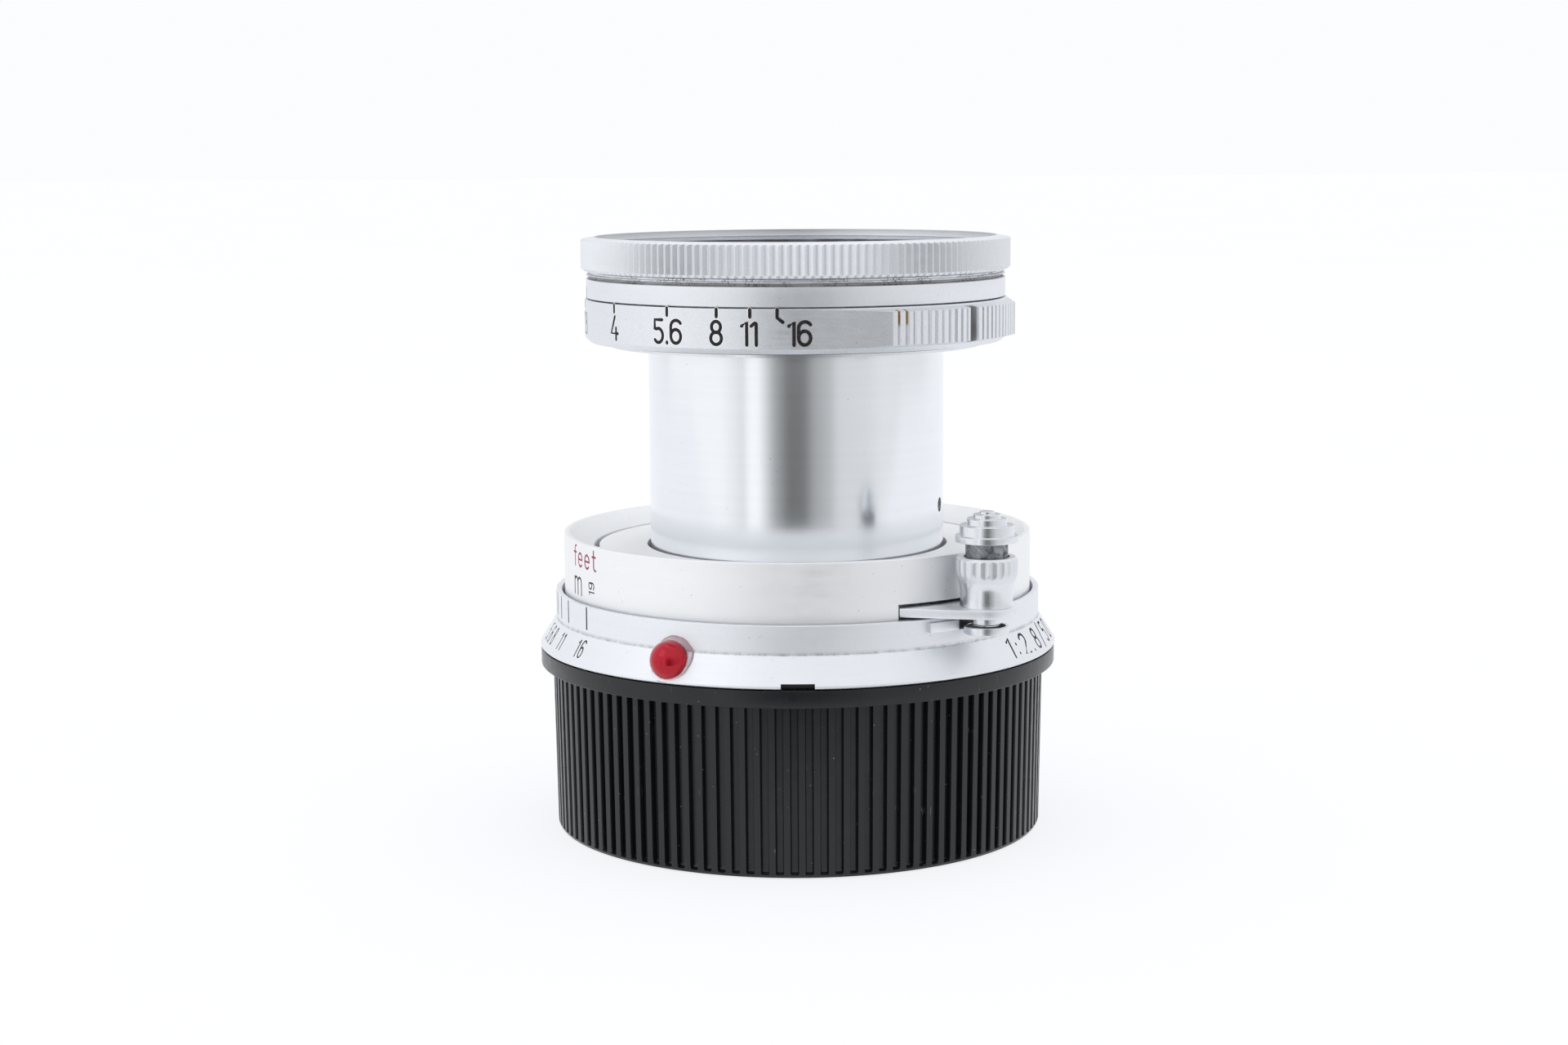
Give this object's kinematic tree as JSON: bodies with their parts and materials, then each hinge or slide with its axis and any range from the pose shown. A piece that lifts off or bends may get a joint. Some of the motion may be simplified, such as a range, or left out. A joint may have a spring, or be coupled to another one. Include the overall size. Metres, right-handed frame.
{
  "type": "collapsible rangefinder camera lens",
  "caption": "Compact 50 mm collapsible camera lens in satin chrome, barrel drawn out, standing on a deep ribbed bayonet cap.",
  "frame": {"origin": "centre of the rear cap's flat base, which stands on the table", "axes": "+Z along the optical axis from the rear cap to the front rim; -Y is the side with the mounting notch at the foot of the depth-of-field ring, the focusing lever stands to the right of it (+X)"},
  "size_m": [0.0512, 0.0511, 0.0582],
  "materials": {
    "satin_chrome": "satin chrome plate, fine blasted grain",
    "focus_ring_chrome": "matte satin chrome plate",
    "bright_chrome": "polished chrome plate",
    "barrel_chrome": "ground and polished chrome plate",
    "brass_parts": "turned brass",
    "black_anodised": "black anodised, matte",
    "spring_steel": "bare steel",
    "blade_steel": "blued, graphite coated",
    "optical_glass": "polished, single blue-violet coating",
    "red_bead": "clear glossy red bead",
    "cap_plastic": "black moulded, satin"
  },
  "bodies": {
    "mount_body": {"depth_scale_ring": "satin_chrome", "bayonet_flange": "bright_chrome", "bayonet_screws": "spring_steel", "fixed_helicoid": "brass_parts", "cam_guide_key": "brass_parts", "infinity_catch": "bright_chrome", "index_bead": "red_bead"},
    "cam_body": {"cam_sleeve": "brass_parts"},
    "focus_body": {"focusing_ring": "focus_ring_chrome", "focus_helicoid": "brass_parts", "cam_retaining_ring": "brass_parts", "floor_ring": "focus_ring_chrome", "barrel_guide_bush": "brass_parts", "focus_lever": "bright_chrome", "focus_knob": "bright_chrome", "lock_spring": "spring_steel"},
    "lock_body": {"lock_button": "bright_chrome", "lock_pin_foot": "bright_chrome"},
    "brake_body": {"barrel_brake_ring": "brass_parts"},
    "barrel_body": {"barrel_tube": "barrel_chrome", "barrel_screw": "spring_steel", "barrel_lug_ring": "brass_parts", "light_baffle": "black_anodised", "head_base_plate": "black_anodised", "base_plate_screws": "spring_steel", "iris_housing": "black_anodised", "click_ball": "spring_steel", "click_spring": "spring_steel", "index_ring": "satin_chrome", "clamp_ring": "satin_chrome", "front_ring": "satin_chrome", "name_ring": "black_anodised", "front_cell": "black_anodised", "front_retaining_ring": "black_anodised", "front_element": "optical_glass", "element_spacer": "black_anodised", "second_element": "optical_glass", "rear_cell": "black_anodised", "rear_doublet_front": "optical_glass", "rear_doublet_back": "optical_glass", "rear_retaining_ring": "black_anodised"},
    "aperture_body": {"aperture_ring": "satin_chrome", "aperture_drive_pin": "brass_parts", "iris_cam_ring": "black_anodised"},
    "cap_body": {"rear_cap": "cap_plastic"},
    "blade_01_body": {"iris_blade_01": "blade_steel"},
    "blade_02_body": {"iris_blade_02": "blade_steel"},
    "blade_03_body": {"iris_blade_03": "blade_steel"},
    "blade_04_body": {"iris_blade_04": "blade_steel"},
    "blade_05_body": {"iris_blade_05": "blade_steel"},
    "blade_06_body": {"iris_blade_06": "blade_steel"},
    "blade_07_body": {"iris_blade_07": "blade_steel"},
    "blade_08_body": {"iris_blade_08": "blade_steel"},
    "blade_09_body": {"iris_blade_09": "blade_steel"},
    "blade_10_body": {"iris_blade_10": "blade_steel"}
  },
  "joints": [
    {"name": "focus_advance", "type": "slide", "parent": "mount_body", "child": "cam_body", "axis": [0, 0, 1], "range_m": [0, 0.00278]},
    {"name": "focus_turn", "type": "hinge", "parent": "cam_body", "child": "focus_body", "pos_m": [0, 0, 0.0236], "axis": [0, 0, 1], "range_deg": [0, 180]},
    {"name": "lock_press", "type": "slide", "parent": "focus_body", "child": "lock_body", "axis": [0, 0, -1], "range_m": [0, 0.00075], "stiffness_N_per_m": 1500, "springref_m": -0.0005, "deforming": ["lock_spring"]},
    {"name": "barrel_lock_turn", "type": "hinge", "parent": "focus_body", "child": "brake_body", "pos_m": [0, 0, 0.0253], "axis": [0, 0, 1], "range_deg": [-20, 0]},
    {"name": "barrel_collapse", "type": "slide", "parent": "brake_body", "child": "barrel_body", "axis": [0, 0, -1], "range_m": [0, 0.0183]},
    {"name": "aperture_turn", "type": "hinge", "parent": "barrel_body", "child": "aperture_body", "pos_m": [0, 0, 0.05], "axis": [0, 0, 1], "range_deg": [-77.1, 0]},
    {"name": "cap_release", "type": "slide", "parent": "mount_body", "child": "cap_body", "axis": [0, 0, -1], "range_m": [0, 0.04]},
    {"name": "blade_01_swing", "type": "hinge", "parent": "barrel_body", "child": "blade_01_body", "pos_m": [0.01295, 0, 0.0487], "axis": [0, 0, 1], "range_deg": [0, 30]},
    {"name": "blade_02_swing", "type": "hinge", "parent": "barrel_body", "child": "blade_02_body", "pos_m": [0.01048, 0.00761, 0.0487], "axis": [0, 0, 1], "range_deg": [0, 30]},
    {"name": "blade_03_swing", "type": "hinge", "parent": "barrel_body", "child": "blade_03_body", "pos_m": [0.004, 0.01232, 0.0487], "axis": [0, 0, 1], "range_deg": [0, 30]},
    {"name": "blade_04_swing", "type": "hinge", "parent": "barrel_body", "child": "blade_04_body", "pos_m": [-0.004, 0.01232, 0.0487], "axis": [0, 0, 1], "range_deg": [0, 30]},
    {"name": "blade_05_swing", "type": "hinge", "parent": "barrel_body", "child": "blade_05_body", "pos_m": [-0.01048, 0.00761, 0.0487], "axis": [0, 0, 1], "range_deg": [0, 30]},
    {"name": "blade_06_swing", "type": "hinge", "parent": "barrel_body", "child": "blade_06_body", "pos_m": [-0.01295, 0, 0.0487], "axis": [0, 0, 1], "range_deg": [0, 30]},
    {"name": "blade_07_swing", "type": "hinge", "parent": "barrel_body", "child": "blade_07_body", "pos_m": [-0.01048, -0.00761, 0.0487], "axis": [0, 0, 1], "range_deg": [0, 30]},
    {"name": "blade_08_swing", "type": "hinge", "parent": "barrel_body", "child": "blade_08_body", "pos_m": [-0.004, -0.01232, 0.0487], "axis": [0, 0, 1], "range_deg": [0, 30]},
    {"name": "blade_09_swing", "type": "hinge", "parent": "barrel_body", "child": "blade_09_body", "pos_m": [0.004, -0.01232, 0.0487], "axis": [0, 0, 1], "range_deg": [0, 30]},
    {"name": "blade_10_swing", "type": "hinge", "parent": "barrel_body", "child": "blade_10_body", "pos_m": [0.01048, -0.00761, 0.0487], "axis": [0, 0, 1], "range_deg": [0, 30]}
  ],
  "couplings": [
    {"joint": "focus_advance", "follows": "focus_turn", "m_per_rad": 0.0008849},
    {"joint": "blade_01_swing", "follows": "aperture_turn", "ratio": -0.389},
    {"joint": "blade_02_swing", "follows": "aperture_turn", "ratio": -0.389},
    {"joint": "blade_03_swing", "follows": "aperture_turn", "ratio": -0.389},
    {"joint": "blade_04_swing", "follows": "aperture_turn", "ratio": -0.389},
    {"joint": "blade_05_swing", "follows": "aperture_turn", "ratio": -0.389},
    {"joint": "blade_06_swing", "follows": "aperture_turn", "ratio": -0.389},
    {"joint": "blade_07_swing", "follows": "aperture_turn", "ratio": -0.389},
    {"joint": "blade_08_swing", "follows": "aperture_turn", "ratio": -0.389},
    {"joint": "blade_09_swing", "follows": "aperture_turn", "ratio": -0.389},
    {"joint": "blade_10_swing", "follows": "aperture_turn", "ratio": -0.389}
  ]
}
